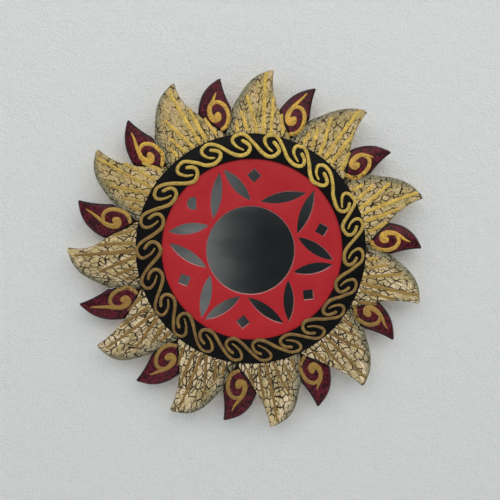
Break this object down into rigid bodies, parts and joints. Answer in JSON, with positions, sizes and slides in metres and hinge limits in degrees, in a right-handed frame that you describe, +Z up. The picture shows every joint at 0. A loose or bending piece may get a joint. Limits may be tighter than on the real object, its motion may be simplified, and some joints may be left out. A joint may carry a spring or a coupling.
{
  "type": "wall mirror",
  "caption": "Round wall mirror in a carved and painted sun-ray frame, with a black scroll band and a pierced red panel over the glass; hangs from a ring.",
  "frame": {"origin": "middle of the mirror on the wall plane, at the centre of the plywood ring's rear face", "axes": "the front faces -Y, the wall lies in the plane y = 0 behind it, +Z is up and +X is to the right seen from the front"},
  "size_m": [0.2479, 0.016, 0.2494],
  "materials": {
    "ray_cream": "cream crackle paint over dark brown, satin",
    "ray_burgundy": "burgundy crackle paint over near black, satin",
    "band_black": "black paint, satin",
    "panel_red": "red paint, satin",
    "gold_paint": "raised gold-ochre outline paint, satin",
    "mirror": "silvered float glass",
    "plywood": "bare plywood, sanded",
    "hardboard": "bare hardboard",
    "screw_steel": "zinc plated",
    "hanger_brass": "brass plated steel"
  },
  "bodies": {
    "frame": {"carrier_ring": "plywood", "band_ring": "band_black", "fret_panel": "panel_red", "mirror_glass": "mirror", "backboard": "hardboard", "board_screws": "screw_steel", "ray_screws": "screw_steel", "hanger_strap": "hanger_brass", "hanger_screws": "screw_steel", "gold_ray_01": "ray_cream", "gold_ray_02": "ray_cream", "gold_ray_03": "ray_cream", "gold_ray_04": "ray_cream", "gold_ray_05": "ray_cream", "gold_ray_06": "ray_cream", "gold_ray_07": "ray_cream", "gold_ray_08": "ray_cream", "gold_ray_09": "ray_cream", "gold_ray_10": "ray_cream", "gold_ray_11": "ray_cream", "burgundy_ray_01": "ray_burgundy", "burgundy_ray_02": "ray_burgundy", "burgundy_ray_03": "ray_burgundy", "burgundy_ray_04": "ray_burgundy", "burgundy_ray_05": "ray_burgundy", "burgundy_ray_06": "ray_burgundy", "burgundy_ray_07": "ray_burgundy", "burgundy_ray_08": "ray_burgundy", "burgundy_ray_09": "ray_burgundy", "burgundy_ray_10": "ray_burgundy", "burgundy_ray_11": "ray_burgundy"},
    "ring": {"hanger_ring": "hanger_brass"}
  },
  "joints": [
    {"name": "ring_swing", "type": "hinge", "parent": "frame", "child": "ring", "pos_m": [0, -0.00215, 0.052], "axis": [-1, 0, 0], "range_deg": [0, 165]}
  ]
}
